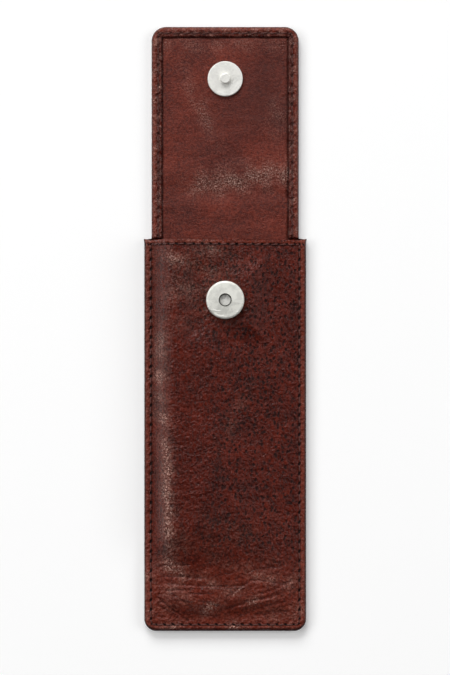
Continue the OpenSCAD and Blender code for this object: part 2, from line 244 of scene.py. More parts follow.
def white_floor():
    finish = Finish("white_paper")
    paper = finish.node("ShaderNodeBsdfDiffuse", None, {"Color": PAPER_WHITE})
    glow = finish.node("ShaderNodeEmission", None, {"Color": (1, 1, 1), "Strength": PAPER_GLOW})
    both = finish.node("ShaderNodeAddShader", None, {0: paper, 1: glow})
    # Outputs 0, 3 and 6 tell rays from the camera, from reflections and through clear things
    seen, mirrored, through = (finish.node("ShaderNodeLightPath", out=out) for out in (0, 3, 6))
    share = seen + mirrored + through
    shader = finish.node("ShaderNodeMixShader", None, {0: share, 1: paper, 2: both})
    finish.node("ShaderNodeOutputMaterial", None, {"Surface": shader})
    return finish.material


floor_mesh = bpy.data.meshes.new("floor")
around = [(-1, -1), (1, -1), (1, 1), (-1, 1)]
floor_mesh.from_pydata([(a * FLOOR_HALF, b * FLOOR_HALF, 0) for a, b in around], [], [(0, 1, 2, 3)])
floor_mesh.materials.append(white_floor())
floor = bpy.data.objects.new("floor", floor_mesh)
floor.location.z = -FLOOR_DROP
bpy.context.scene.collection.objects.link(floor)
print("floor", floor.name)

# %% [markdown]
# ### Lamps
#
# Four soft boxes stand round the table, and the strongest is beyond the flap. A lamp is placed by its
# turn round the table, its rise over it and its reach. Its power is worked out from the share of full
# daylight that it gives a white table, so a lamp can be moved without changing how bright the table is.

# %% Lamps
def soft_box(name, turn, rise, reach, size, share):
    """A lamp that looks at the sleeve; share is the part of full daylight that it gives the table."""
    turn, rise = math.radians(turn), math.radians(rise)
    level = math.cos(rise) * reach
    at = Vector((level * math.cos(turn), level * math.sin(turn), math.sin(rise) * reach))
    lamp = bpy.data.lights.new(name, "AREA")
    lamp.shape = "RECTANGLE"
    lamp.size, lamp.size_y = size
    lamp.energy = share * math.pi ** 2 * reach ** 2 / math.sin(rise)
    made = bpy.data.objects.new(name, lamp)
    made.location = at
    made.rotation_mode = "QUATERNION"
    made.rotation_quaternion = (-at).to_track_quat("-Z", "Y")
    made.visible_camera = False
    bpy.context.scene.collection.objects.link(made)
    return made


soft_box("top", 103, 33, 4.0, (2.9, 1.9), 0.48)
soft_box("left", 172, 37, 3.6, (3.0, 1.2), 0.20)
soft_box("upper_left", 145, 60, 4.0, (1.4, 1.4), 0.06)
soft_box("right", 8, 35, 4.0, (2.4, 2.0), 0.16)
world = bpy.data.worlds.new("studio")
world.use_nodes = True
background = world.node_tree.nodes["Background"].inputs
background["Color"].default_value = (1, 1, 1, 1)
background["Strength"].default_value = 0.07
bpy.context.scene.world = world


# %% [markdown]
# ## Leather as a grid
#
# A leather panel is a sheet: an upper face, a lower face and a rounded rim where they meet. A thin box
# could be subdivided and sculpted into it. Here each panel is a grid of points instead, with columns
# across the sleeve and rows along it, because then seams and creases are plain sums of heights. The lines
# crowd together at the rim, so the rim turns smoothly, and they bend in at a rounded corner.

# %% Grid lines and corners
RIM = np.array([0, 0.05, 0.16, 0.34, 0.6, 0.9, 1.25, 1.65])
CUT = 0.001
CORNER_BAND = 5.0


def smooth(t):
    t = np.clip(t, 0, 1)
    return t * t * (3 - 2 * t)


def mix(a, b, t):
    return a + (b - a) * t


def bump(t):
    """A soft bump: 1 at 0, nearly nothing past 2."""
    return np.exp(-t * t)


def grid_lines(low, high, step, through, low_rim=True, high_rim=True):
    """Places from low to high: whole steps that pass through one place, and close lines at the rims."""
    first = low + (RIM[-1] if low_rim else 0) + step / 2
    last = high - (RIM[-1] if high_rim else 0) - step / 2
    count = np.arange(math.ceil((first - through) / step), math.floor((last - through) / step) + 1)
    start = low + (RIM if low_rim else np.array([0, CUT]))
    end = high - (RIM if high_rim else np.array([0, CUT]))[::-1]
    return np.concatenate([start, through + count * step, end])


def rounded_half(half, r, at):
    """Half width of a panel with rounded corners; at gives how far a row is past the corner's start."""
    past = np.clip(at, 0, r)
    return half - r + np.sqrt(r * r - past * past)


def spread_grid(xs, ys, half, keep):
    """Grid of places; each row's outer part is drawn in to that row's half width."""
    full = xs.max()
    half = np.broadcast_to(half, ys.shape)[:, None]
    still = np.minimum(keep, half - CORNER_BAND)
    x = np.abs(xs)[None, :]
    x = np.where(x < still, x, still + (x - still) * (half - still) / (full - still))
    return np.sign(xs) * x, np.repeat(ys[:, None], len(xs), 1)


def edge_gap(x, half, r, corner):
    """Distance in from a rounded outline, up to r; corner is how far a place is past the corner's start."""
    over_x, over_y = np.maximum(np.abs(x) - (half - r), 0), np.maximum(corner, 0)
    return np.maximum(r - np.hypot(over_x, over_y), 0)


print("rim lines", len(RIM), "over", RIM[-1], "mm")


# %% [markdown]
# ### From grid to skin
#
# The skin joins the upper and the lower grid at their common rim, which makes one closed mesh. A face
# that nobody sees keeps only every third or fourth line. Each point also remembers its place on the hide, in
# millimetres along the leather, so that grain and pores run over ridges without stretching and stay put
# when the flap bends.

# %% Skin builder
def grid_normals(grid):
    across, along = np.gradient(grid, axis=1), np.gradient(grid, axis=0)
    normal = np.cross(across, along)
    return normal / np.linalg.norm(normal, axis=2, keepdims=True)


def heights(x, y, z):
    return np.stack([x, y, np.broadcast_to(z, x.shape)], axis=2)


def rounded(gap, r):
    """How full the sheet is at a distance in from its rim: 0 at the rim, 1 past the rounding."""
    return np.sqrt(1 - (1 - np.clip(gap / r, 0, 1)) ** 2)


def closed_at_cut(top, low):
    """Closes a sheet with a flat end where it is cut across the middle of the spine."""
    at_cut = (np.abs(top[..., 1] - mid_spine) < CUT / 2)[..., None]
    middle = (top + low) / 2
    return np.where(at_cut, middle, top), np.where(at_cut, middle, low)


def hide_places(top, low):
    """Millimetres along the leather from the middle column, along the sleeve, and down through it."""
    step = np.linalg.norm(np.diff(top, axis=1), axis=2)
    u = np.concatenate([np.zeros((len(top), 1)), np.cumsum(step, axis=1)], axis=1)
    middle = np.argmin(np.abs(top[0, :, 0]))
    u = u - u[:, middle:middle + 1]
    depth = np.linalg.norm(top - low, axis=2)
    return np.stack([u, top[..., 1], 0 * u], 2), np.stack([u, top[..., 1], depth], 2)


def coarse(count, stride):
    return sorted({*range(0, count - 1, stride), count - 1})


def cells_of(number, rows, cols, fine_rows, fine_cols):
    """Faces between chosen rows and columns; on the border each keeps the lines that were left out."""
    last_row, last_col = fine_rows - 1, fine_cols - 1
    faces = []
    for r0, r1 in zip(rows, rows[1:]):
        for c0, c1 in zip(cols, cols[1:]):
            up = range(r0, r1) if c0 == 0 else [r0]
            right = range(c0, c1) if r1 == last_row else [c0]
            down = range(r1, r0, -1) if c1 == last_col else [r1]
            left = range(c1, c0, -1) if r0 == 0 else [c1]
            loop = [(r, c0) for r in up] + [(r1, c) for c in right]
            loop += [(r, c1) for r in down] + [(r0, c) for c in left]
            faces.append([number[i][j] for i, j in loop])
    return faces


def piece(name, points, faces, finish):
    """A smooth mesh in the scene, from points in millimetres."""
    mesh = bpy.data.meshes.new(name)
    mesh.from_pydata((points * MM).tolist(), [], faces)
    mesh.shade_smooth()
    mesh.materials.append(finish)
    made = bpy.data.objects.new(name, mesh)
    bpy.context.scene.collection.objects.link(made)
    return made


def hold(mesh, name, kind, values):
    """Lets each point of the mesh hold a number or a vector under a name."""
    attribute = mesh.attributes.new(name, kind, "POINT")
    part = "vector" if kind == "FLOAT_VECTOR" else "value"
    attribute.data.foreach_set(part, np.concatenate(values).astype(np.float32).ravel())


def skin(name, top, low, finish, top_held=None, low_held=None, strides=(1, 1)):
    """A closed mesh from an upper and a lower grid that meet at the rim."""
    top, low = closed_at_cut(top, low)
    n, m = top.shape[:2]
    border = np.ones((n, m), bool)
    border[1:-1, 1:-1] = False
    facts = (top_held or {}, low_held or {})
    keys = sorted({*facts[0], *facts[1]})
    points, hides, sides, held = [], [], [], {key: [] for key in keys}
    for side, (grid, place) in enumerate(zip((top, low), hide_places(top, low))):
        rows, cols = coarse(n, strides[side]), coarse(m, strides[side])
        used = np.zeros((n, m), bool)
        used[np.ix_(rows, cols)] = True
        used = used & ~border if side else used | border
        number = np.full((n, m), -1)
        number[used] = np.arange(used.sum()) + (len(points[0]) if side else 0)
        if side:
            number[border] = sides[0][0][border]
        sides.append((number, rows, cols))
        points.append(grid[used])
        hides.append(place[used])
        for key in keys:
            held[key].append(np.broadcast_to(facts[side].get(key, 0.0), (n, m))[used])
    faces = [face[::-1] for face in cells_of(sides[0][0].tolist(), *sides[0][1:], n, m)]
    faces += cells_of(sides[1][0].tolist(), *sides[1][1:], n, m)
    points = np.concatenate(points)
    made = piece(name, points, faces, finish)
    mesh = made.data
    ends = np.empty(2 * len(mesh.edges), np.int32)
    mesh.edges.foreach_get("vertices", ends)
    at_cut = np.abs(points[:, 1] - mid_spine) < 2 * CUT
    sharp = mesh.attributes.new("sharp_edge", "BOOLEAN", "EDGE")
    sharp.data.foreach_set("value", at_cut[ends].reshape(-1, 2).all(axis=1))
    hold(mesh, "hide", "FLOAT_VECTOR", hides)
    for key in keys:
        hold(mesh, key, "FLOAT", held[key])
    print(name, len(mesh.vertices), "points", len(mesh.polygons), "faces")
    return made


print("every third of ten lines", coarse(10, 3))


# %% [markdown]
# ## Seams
#
# The sleeve is sewn by hand with a saddle stitch: two needles pass each other in one row of holes, so
# the same stitches show on both faces. The holes come from a slanted pricking iron, and the waxed thread
# pulls them a little open. Here are the places of all holes; the solids have their stitches between the
# same places.

# %% Where the holes are
side_seam_x, foot_seam_y = body_half - 2.5, foot_y + 2.5
mouth_seam_y, flap_seam_x, flap_seam_y = mouth_y - 1.8, flap_half - 2.5, tip_y - 2.5
LONG, CROSS = 3.6, 3.2


def row_of_holes(low, high, pitch):
    """Whole stitches, in the middle of the length from low to high."""
    count = math.floor((high - low) / pitch + 1e-9)
    return (low + high - count * pitch) / 2 + pitch * np.arange(count + 1)


side_holes = row_of_holes(foot_seam_y + 1, mouth_seam_y - 1, LONG)
foot_holes = row_of_holes(-side_seam_x + 1, side_seam_x - 1, CROSS)
rise_holes = row_of_holes(mouth_y, fold_a - 0.8, LONG)
spine_holes = row_of_holes(fold_a + 0.8, fold_b - 0.8, LONG)
flap_side_holes = row_of_holes(fold_b + 0.8, flap_seam_y - 1, LONG)
flap_tip_holes = row_of_holes(-flap_seam_x + 1, flap_seam_x - 1, LONG)
CORNER = 0.3
pocket_seam = (
    [(-side_seam_x, mouth_seam_y)]
    + [(-side_seam_x, y) for y in side_holes[::-1]]
    + [(-side_seam_x + CORNER, foot_seam_y + CORNER)]
    + [(x, foot_seam_y) for x in foot_holes]
    + [(side_seam_x - CORNER, foot_seam_y + CORNER)]
    + [(side_seam_x, y) for y in side_holes]
    + [(side_seam_x, mouth_seam_y)]
)
low_holes = [*rise_holes, *[y for y in spine_holes if y <= mid_spine + 0.01]]
high_holes = [*[y for y in spine_holes if y >= mid_spine - 0.01], *flap_side_holes]
rise_seams = [[(s * flap_seam_x, y) for y in low_holes] for s in (-1, 1)]
flap_seam = (
    [(-flap_seam_x, y) for y in high_holes]
    + [(-flap_seam_x + CORNER / 2, flap_seam_y - CORNER / 2)]
    + [(x, flap_seam_y) for x in flap_tip_holes]
    + [(flap_seam_x - CORNER / 2, flap_seam_y - CORNER / 2)]
    + [(flap_seam_x, y) for y in high_holes[::-1]]
)
print("holes", len(pocket_seam), sum(map(len, rise_seams)), len(flap_seam))


# %% [markdown]
# ### The front's shape
#
# The front is drawn tight over a round lane: up from the left seam, over the lane, then down in one long
# slope to the right seam, with a little crown. Below the lane it lies nearly flat, and round the snap it
# is pressed level. This is the same rule that the solid follows, as a height for each place.

# %% Height of the front leather
RAMP_SOFT = 0.3


def lane_full(y):
    """1 where the lane is round, 0 below it."""
    return smooth((y - (mouth_y - lane_l - lane_fade)) / lane_fade)


def front_height(x, y):
    full = lane_full(y)
    r_in = mix(slack, lane_d, full) / 2
    r, cz = r_in + cover_t, lining_z + r_in
    rise = cz - band_z

    def wrap(run):
        return np.arctan2(rise, run) + np.arcsin(np.clip(r / np.hypot(run, rise), -1, 1))

    left, right = wrap(lane_x + seam_x), wrap(seam_x - lane_x)
    x_left, z_left = lane_x - r * np.sin(left), cz + r * np.cos(left)
    x_right, z_right = lane_x + r * np.sin(right), cz + r * np.cos(right)
    ramp = (x + seam_x) * (z_left - band_z) / (x_left + seam_x)
    flank = band_z + (ramp + np.sqrt(ramp * ramp + RAMP_SOFT)) / 2
    arc = cz + np.sqrt(np.maximum(r * r - (x - lane_x) ** 2, 0))
    s = np.clip((x - x_right) / (seam_x - x_right), 0, 1)
    crown = mix(belly_foot, belly_lane, full) * (1 - (2 * s - 1) ** 4)
    slope = mix(z_right, band_z, s) + crown
    near = 1 - smooth((np.maximum(np.abs(x), np.abs(y - socket_y)) - seat_half) / seat_blend)
    slope = mix(slope, seat_z, near)
    z = np.where(x < x_left, flank, np.where(x < x_right, arc, slope))
    climb = smooth((y - foot_y - corner_r) / foot_rise)
    return mix(band_z, z, climb)


ridge_z, snap_z = front_height(np.array([lane_x, 0.0]), np.array([20.0, socket_y])).round(2)
print("height of the ridge", ridge_z, "and under the snap", snap_z)


# %% [markdown]
# ### Holes along the mouth
#
# The mouth is sewn while the leather lies flat, so its holes are evenly spaced along the leather. On the
# finished sleeve the leather climbs over the lane, and there they stand closer when seen from above.

# %% Holes of the mouth seam, evenly spaced along the curved front
fine_x = np.linspace(-seam_x, seam_x, 4000)
fine_z = front_height(fine_x, np.full_like(fine_x, mouth_seam_y))
fine_run = np.concatenate([[0], np.cumsum(np.hypot(np.diff(fine_x), np.diff(fine_z)))])
mouth_holes = np.interp(row_of_holes(0, fine_run[-1], CROSS), fine_run, fine_x)
mouth_seam = [(x, mouth_seam_y) for x in mouth_holes]
mouth_seam = [(-side_seam_x, mouth_seam_y), *mouth_seam, (side_seam_x, mouth_seam_y)]
print("mouth holes", len(mouth_holes))


# %% [markdown]
# ### What the needle does to leather
#
# Round each hole the leather dips, and between two holes it swells a little. The thread lies in a
# shallow groove. This presses all that into a grid of points. The hole itself is smaller than the grid's
# step, so each point also keeps its place on the seam: how many stitches along and how many millimetres
# beside the line. Both run evenly from point to point, and from them the finish paints the slanted holes
# dark, as the shade inside them.

# %% Grooves and places on a seam
NEAR_SEAM, FAR = 2.5, 99.0
BEFORE_START, PAST_END = -9, 9
# In millimetres: the groove's width, the swell beside it and the dip round each hole
GROOVE_WIDE = 0.55
SWELL_HIGH, SWELL_OFF, SWELL_WIDE = 0.10, 0.95, 0.5
DIP_DEEP, DIP_WIDE = 0.3, 0.6


def sew(grid, lines, groove=0.12, shown=1.0):
    """How far seams press points in, and their places on the nearest seam; shown: how dark the holes'
    painted shade is.
    """
    flat = grid[..., :2]
    press = np.zeros(flat.shape[:2])
    nearest, stitch, beside = np.full(press.shape, FAR), press, press
    for line in map(np.array, lines):
        for i, (a, b) in enumerate(zip(line, line[1:])):
            run = b - a
            at_ends = (BEFORE_START if i == 0 else 0, PAST_END if i == len(line) - 2 else 1)
            t = ((flat - a) @ run) / (run @ run)
            off = flat - a - np.clip(t, 0, 1)[..., None] * run
            near = np.hypot(off[..., 0], off[..., 1])
            press = np.maximum(press, groove * bump(near / GROOVE_WIDE))
            between_holes = SWELL_HIGH * np.sin(np.pi * np.clip(t, 0, 1))
            press = press - between_holes * bump((near - SWELL_OFF) / SWELL_WIDE)
            from_hole = np.hypot(*np.moveaxis(flat - a, 2, 0))
            press = np.maximum(press, DIP_DEEP * bump(from_hole / DIP_WIDE))
            open_t = np.clip(t, *at_ends)
            off = flat - a - open_t[..., None] * run
            left_of = np.sign(run[0] * off[..., 1] - run[1] * off[..., 0])
            closer = near < nearest
            nearest = np.where(closer, near, nearest)
            stitch = np.where(closer, i + open_t, stitch)
            beside = np.where(closer, left_of * np.hypot(off[..., 0], off[..., 1]), beside)
    return press, {"stitch": stitch, "beside": beside, "sewn": shown * (nearest < NEAR_SEAM)}


def waves(x, y, size, seed, count=18):
    """Soft seeded ups and downs between about -1 and 1, with waves about size long."""
    draw = np.random.default_rng(seed)
    total = 0
    for _ in range(count):
        turn, phase = draw.uniform(0, math.tau), draw.uniform(0, math.tau)
        long = size * draw.uniform(0.7, 1.6)
        total = total + np.sin((x * math.cos(turn) + y * math.sin(turn)) * math.tau / long + phase)
    return total / math.sqrt(count / 2) / 2


def creases(x, y, lines):
    """Fold lines: each is start, end, bow, width and depth; a valley with a low ridge beside it."""
    total = 0
    for (x0, y0), (x1, y1), bow, width, depth in lines:
        run = np.array([x1 - x0, y1 - y0])
        length = np.hypot(*run)
        along = ((x - x0) * run[0] + (y - y0) * run[1]) / length ** 2
        off = ((y - y0) * run[0] - (x - x0) * run[1]) / length - bow * 4 * along * (1 - along)
        fade = smooth(along / 0.15) * smooth((1 - along) / 0.15)
        total = total + depth * fade * (0.6 * bump((off + 1.7 * width) / width) - bump(off / width))
    return total


test_x, test_y = np.meshgrid(np.arange(60.0), np.arange(60.0))
print("waves reach", round(float(np.abs(waves(test_x, test_y, 9, 1)).max()), 2))


# %% [markdown]
# ## Leather finish
#
# The hide is a red-brown pull-up leather with a waxy half gloss. Close up it has fine pebbles, darker
# pores in loose rows, and a colour that wanders between red and near-black brown. A picture of leather
# could be laid over the mesh. Patterns in millimetres on the hide are better here: they keep their size
# on every piece, and each can be worn away where the leather is bent or rubbed. Some lighter patches and
# flecks are painted sheen and glints, and some dark lines are painted shade.

# %% Leather
# Colours as shares of red, green and blue light
# WARM_AND_LIT is a redder tone, with painted highlight on the rounded rims and the mouth's roll
RED, DARK, WARM_AND_LIT = (0.138, 0.016, 0.0075), (0.018, 0.0028, 0.0023), (0.19, 0.030, 0.015)
# BURNISH_AND_SHADE is the burnished edge, and also painted shade on the foot's rim, in crease valleys and at
# the hem's step
# HOLE_SHADE is painted shade inside the stitch holes
PORE, HOLE_SHADE, BURNISH_AND_SHADE = (0.016, 0.0022, 0.0016), (0.009, 0.0015, 0.001), (0.018, 0.003, 0.0025)
# WORN_AND_SHEEN is worn dye and painted sheen; FLECK_AND_GLINT is light flecks and painted glints on the
# pebbles
WORN_AND_SHEEN, FLECK_AND_GLINT = (0.42, 0.235, 0.185), (0.62, 0.37, 0.30)
WAXY = 0.18


def leather_finish(name):
    finish = Finish(name)
    place = finish.held("hide", 1)
    edge, rub, warm, pored = (finish.held(key, 2) for key in ("edge", "rub", "warm", "pored"))
    # Mask of the stitch holes, which are painted dark as shade
    hole_shade_mask = finish.holes() + finish.holes("mouth_")
    drift = {"Vector": place, "Scale": 0.4, "Detail": 2.0}
    wander = finish.node("ShaderNodeTexNoise", None, drift, out=1)
    bent = finish.node("ShaderNodeVectorMath", {"operation": "MULTIPLY_ADD"},
                       {0: wander, 1: (1.4, 1.4, 1.4), 2: place})
    tone = finish.noise(place, 0.085, 4.0, 0.6)
    mottle = finish.noise(bent, 0.42, 3.0, 0.6)
    grain = finish.noise(bent, 1.05, 3.0, 0.7)
    dust = finish.noise(bent, 1.7, 2.0, 0.6)
    pebble = finish.cells(bent, 0.9, "SMOOTH_F1")
    taller = {0: bent, 1: (1.0, 0.72, 1.0)}
    tall = finish.node("ShaderNodeVectorMath", {"operation": "MULTIPLY"}, taller)
    pore = 1 - finish.cells(tall, 0.64, randomness=0.9).between(0.22, 0.41)
    pore = pore * pored * finish.noise(place, 0.22, 2.0).between(0.28, 0.48)
    streak = finish.noise(bent, 1.0, 3.0, 0.6, stretch=(1.7, 0.3, 1.0))
    shade = tone.between(0.34, 0.64) * 0.25 + mottle.between(0.35, 0.65) * 0.22
    shade = shade + grain.between(0.43, 0.57) * 0.26 + streak.between(0.40, 0.60) * 0.28
    colour = finish.mixed(shade, DARK, RED)
    colour = finish.mixed(pore * 0.95, colour, PORE)
    # Redder tone, partly painted highlight on the rounded rims and the mouth's roll
    colour = finish.mixed(warm * (0.35 + grain.between(0.4, 0.6) * 0.55), colour, WARM_AND_LIT)
    speck = dust.between(0.48, 0.62) * 0.55 + grain.between(0.48, 0.62) * 0.45
    # Worn dye, and painted sheen and highlight where the leather faces the lamps
    colour = finish.mixed(rub * (0.04 + speck * 0.75), colour, WORN_AND_SHEEN)
    # Light flecks, painted as glints on the pebbles' tops
    glint_fleck = 1 - finish.cells(bent, 1.5).between(0.16, 0.46)
    colour = finish.mixed(rub.between(0.35, 0.85) * glint_fleck * 0.9, colour, FLECK_AND_GLINT)
    # Dark burnished edge, with painted shade on the foot's rim, in crease valleys and at the hem's step
    colour = finish.mixed(edge * 0.85, colour, BURNISH_AND_SHADE)
    # Painted shade inside the stitch holes
    colour = finish.mixed(hole_shade_mask, colour, HOLE_SHADE)
    rough = WAXY + grain * 0.16 + pore * 0.5 + hole_shade_mask * 0.4
    swell = finish.relief(mottle, 0.00045)
    pebbled = finish.relief(grain * 0.25 + dust * 0.45 + streak * 0.3 - pebble * 0.9, 0.00050, swell)
    pitted = finish.relief(1 - pore - hole_shade_mask * 2, 0.00015, pebbled)
    return finish.surface(Base_Color=colour, Roughness=rough, Normal=pitted, Specular_IOR_Level=0.19)


leather = leather_finish("leather")
print("leather made of", len(leather.node_tree.nodes), "nodes")


# %% [markdown]
# ### Lining and thread
#
# The lining is thinner leather in the same dye, with a finer grain and a duller face. Where it has been
# bent or rubbed, the dye is worn and light flecks show, and some lighter bands are painted sheen. Where its
# edge goes under a hem it is painted dark, as shade. The thread is twisted and waxed: its colour runs
# in slanted bands, and the same bands raise it a little, like the strands of a rope.

# %% Lining and thread
LINING_DARK, LINING_RED = (0.060, 0.0080, 0.0050), (0.20, 0.0290, 0.0145)
# LINING_DARKER darkens the middle of the lining
# TUCK_SHADE is painted shade where the lining goes under a hem
LINING_PORE, LINING_DARKER, TUCK_SHADE = (0.030, 0.005, 0.004), (0.030, 0.006, 0.005), (0.010, 0.003, 0.003)
# LINING_WORN_AND_SHEEN is worn dye and painted sheen
LINING_WORN_AND_SHEEN = (0.50, 0.30, 0.245)


def lining_finish(name):
    finish = Finish(name)
    place = finish.held("hide", 1)
    rub, edge = finish.held("rub", 2), finish.held("edge", 2)
    tone = finish.noise(place, 0.055, 3.0, 0.55)
    mottle = finish.noise(place, 0.5, 4.0, 0.6)
    grain = finish.noise(place, 0.95, 3.0, 0.7)
    dust = finish.noise(place, 1.9, 2.0, 0.6)
    crack = 1 - finish.cells(place, 0.8, "DISTANCE_TO_EDGE").between(0.0, 0.14)
    shade = tone.between(0.34, 0.66) * 0.4 + mottle.between(0.3, 0.7) * 0.2
    shade = shade + grain.between(0.40, 0.60) * 0.4
    colour = finish.mixed(shade, LINING_DARK, LINING_RED)
    pore = 1 - finish.cells(place, 0.8).between(0.12, 0.40)
    colour = finish.mixed(pore * 0.5, colour, LINING_PORE)
    flecks = dust.between(0.48, 0.62) * 0.6 + grain.between(0.48, 0.62) * 0.4
    # Worn dye and light flecks, with painted sheen on the lit bands
    colour = finish.mixed(rub * (0.08 + flecks * 0.95), colour, LINING_WORN_AND_SHEEN)
    # Darker in the middle of the lining
    colour = finish.mixed(finish.held("shade", 2) * 0.6, colour, LINING_DARKER)
    # Painted shade where the lining goes under a hem
    colour = finish.mixed(edge * 0.9, colour, TUCK_SHADE)
    rough = 0.32 + grain * 0.2
    swell = finish.relief(mottle, 0.0004)
    fine = finish.relief(grain * 0.6 + dust * 0.6 + crack * rub, 0.00040, swell)
    return finish.surface(Base_Color=colour, Roughness=rough, Normal=fine, Specular_IOR_Level=0.2)


def thread_finish(name):
    finish = Finish(name)
    place = finish.held("hide", 1)
    bands = {"bands_direction": "DIAGONAL"}
    twist = finish.node("ShaderNodeTexWave", bands, {"Vector": place, "Scale": 1.1})
    wax = finish.noise(place, 1.5, 3.0)
    colour = finish.mixed(twist, (0.055, 0.011, 0.008), (0.13, 0.034, 0.024))
    rough = 0.42 + wax * 0.2
    return finish.surface(Base_Color=colour, Roughness=rough, Normal=finish.relief(twist, 0.00006))


lining = lining_finish("lining")
thread = thread_finish("thread")
print("lining and thread made")


# %% [markdown]
# ## Front leather
#
# The front is the piece that the eye meets first. Its grid follows the drawn shape, then gentle waves,
# the creases near the foot and the two seams are pressed into it. Cloth that is simulated would crease
# too, but creases that are listed one by one stay where the real sleeve has them. The rim is burnished
# round, and the mouth's edge is turned over, so it is thicker and fully rounded there.

# %% Front leather's relief
FOOT_CREASES = [
    ((-25, -52), (-5, -52.8), 0.4, 0.55, 0.30), ((-23.5, -54.4), (10, -55.4), -0.5, 0.5, 0.45),
    ((-25, -57.4), (9.5, -56.6), 0.6, 0.5, 0.25), ((8, -53.2), (24, -55.6), 0.6, 0.6, 0.30),
    ((-1.5, -61.2), (11, -52.6), 0.2, 0.35, 0.30), ((-3, -65.5), (21.5, -58.2), 0.8, 0.7, 0.34),
    ((3, -68), (24, -61), 0.9, 0.7, 0.26), ((-10, -61), (-2, -63.6), 0.5, 0.6, 0.28),
    ((-26, -58.5), (-15, -67), -0.6, 0.6, 0.30), ((-25.5, -62), (-13, -68.4), -0.5, 0.55, 0.26),
    ((-23, -56.5), (-11, -65), 0.7, 0.5, 0.24), ((-16, -58.8), (-3, -58.4), 0.5, 0.5, 0.22),
    ((12, -58.6), (26, -52.5), -0.6, 0.6, 0.26), ((7, -51), (22, -48.6), 0.8, 0.7, 0.2),
    ((13, -66.5), (25, -65), 0.4, 0.6, 0.22), ((-14, -65.6), (-1, -68), 0.4, 0.6, 0.22),
    ((-26, -48.5), (-12, -47.6), 0.5, 0.7, 0.16), ((-20, -61), (-12, -61.6), 0.3, 0.5, 0.2),
    ((10, -61.5), (17, -60), 0.4, 0.5, 0.2), ((-4, -52), (4, -50.6), 0.3, 0.6, 0.14),
]


def front_relief(x, y):
    clear = 1 - bump(np.maximum(np.abs(x), np.abs(y - socket_y)) / 11)
    inside = smooth((seam_x - np.abs(x)) / 3) * smooth((y - foot_y - 4) / 4)
    slack_waves = 0.28 * waves(x, y * 0.6, 26, 3) + 0.12 * waves(x, y * 0.7, 11, 5)
    ridge_x = -4.5 + 3.5 * np.sin((y + 10) / 24)
    fold = 0.42 * bump((x - ridge_x) / 4.2) * bump((y + 8) / 34)
    swell = 0.5 * bump((x - 15) / 7) * bump((y + 56) / 5)
    ring = np.hypot(x, y - socket_y)
    dimple = -0.16 * bump((ring - 7.3) / 0.9) + 0.10 * bump((ring - 10.2) / 1.8)
    fine = 0.03 * waves(x, y, 2.6, 9) + 0.05 * waves(x, y, 5, 8)
    soft = clear * (slack_waves + fold + swell + fine)
    return inside * (soft + 0.75 * creases(x, y, FOOT_CREASES)) + dimple


print("creases near the foot", len(FOOT_CREASES))

# %% Front leather's grid and seams
STEP_ALONG = LONG / 8
xs = grid_lines(-body_half, body_half, CROSS / 7, 0.0)
ys = grid_lines(foot_y, mouth_y, STEP_ALONG, side_holes[0])
half = rounded_half(body_half, corner_r, foot_y + corner_r - ys)
x, y = spread_grid(xs, ys, half, body_half - CORNER_BAND)
flat = heights(x, y, front_height(x, y) + front_relief(x, y))
up = grid_normals(flat)
side_press, seams = sew(flat, [pocket_seam])
mouth_press, mouth_places = sew(flat, [mouth_seam])
seams.update({"mouth_" + key: value for key, value in mouth_places.items()})
top = flat - up * np.maximum(side_press, mouth_press)[..., None]
print("front grid", x.shape, "deepest press", side_press.max().round(2), "mm")

# %% Front leather's rim and turned mouth
SIDE_ROUND, MOUTH_ROUND = 1.35, 0.8
EAR_OUT, EAR_UP = 0.22, 0.34
gap = edge_gap(x, body_half, corner_r, foot_y + corner_r - y)
from_mouth = mouth_y - y
thick = mix(front_t, cover_t, smooth((y - (mouth_y - mouth_hem)) / 0.5))[..., None]
low = flat - up * thick
side_fill = rounded(gap, SIDE_ROUND)[..., None]
mouth_fill = rounded(from_mouth, MOUTH_ROUND)[..., None]
top = low + (top - low) * side_fill
middle = (top + low) / 2
front_top, front_low = middle + (top - middle) * mouth_fill, middle + (low - middle) * mouth_fill
ear = smooth((np.abs(x) - 28.4) / 1.4) * smooth((y - mouth_y + 1.6) / 1.6)
ears = np.stack([EAR_OUT * np.sign(x) * ear, EAR_UP * ear, 0 * ear], axis=2)
front_top, front_low = front_top + ears, front_low + ears
print("thickness", thick.min().round(2), "to", thick.max().round(2), "mm")


# %% [markdown]
# ### Where the front is worn, and where light and shade are painted
#
# Pull-up leather turns light where it is bent or rubbed, as in the slack below the lane and the creases.
# Lighter colour also stands in for light here: a painted highlight along the lane's left flank, and
# painted sheen on the upper left and on a soft diagonal wave. Each number is a share between 0 and 1,
# held by the points, and the finish mixes its colours by them: edge is dark burnishing, with painted
# shade at the foot and in the creases, rub is worn dye and painted sheen, warm is a
# redder tone with painted highlight on the rounded edges, pored is where the pores are open.

# %% Where the front is burnished, worn, painted with light and shade, and porous
# Lighter patches, the one at -19.5 carrying the flank's painted highlight down: the share, then the place
# and the size across the sleeve, then the same along it
LIGHTER_PATCHES = [
    (0.17, 1, 20, -38, 10), (0.55, 14, 6, -53, 3.5), (0.7, -6, 4, -62.5, 2.2),
    (0.55, -19.5, 5, -49, 10), (0.4, 20, 4.5, -66, 3.5),
]
SCRATCH = [((-2, -64.3), (9.2, -53.3), 0.3, 0.3, 1.0)]
# Thin lines along the creases' valleys, painted dark as shade
CREASE_SHADE_LINES = [(start, end, bow, 0.3, 1.0) for start, end, bow, _, _ in FOOT_CREASES]


def valleys(x, y, lines):
    """1 along the bottom of fold lines, 0 away from them."""
    return np.clip(-creases(x, y, lines), 0, 1)


at_foot = smooth((foot_y + 3 - y) / 2)
# Burnished rim, widened at the foot as painted shade on its rounded bottom edge
edge = 1 - smooth((gap - mix(0.1, 0.75, at_foot)) / mix(0.85, 1.1, at_foot))
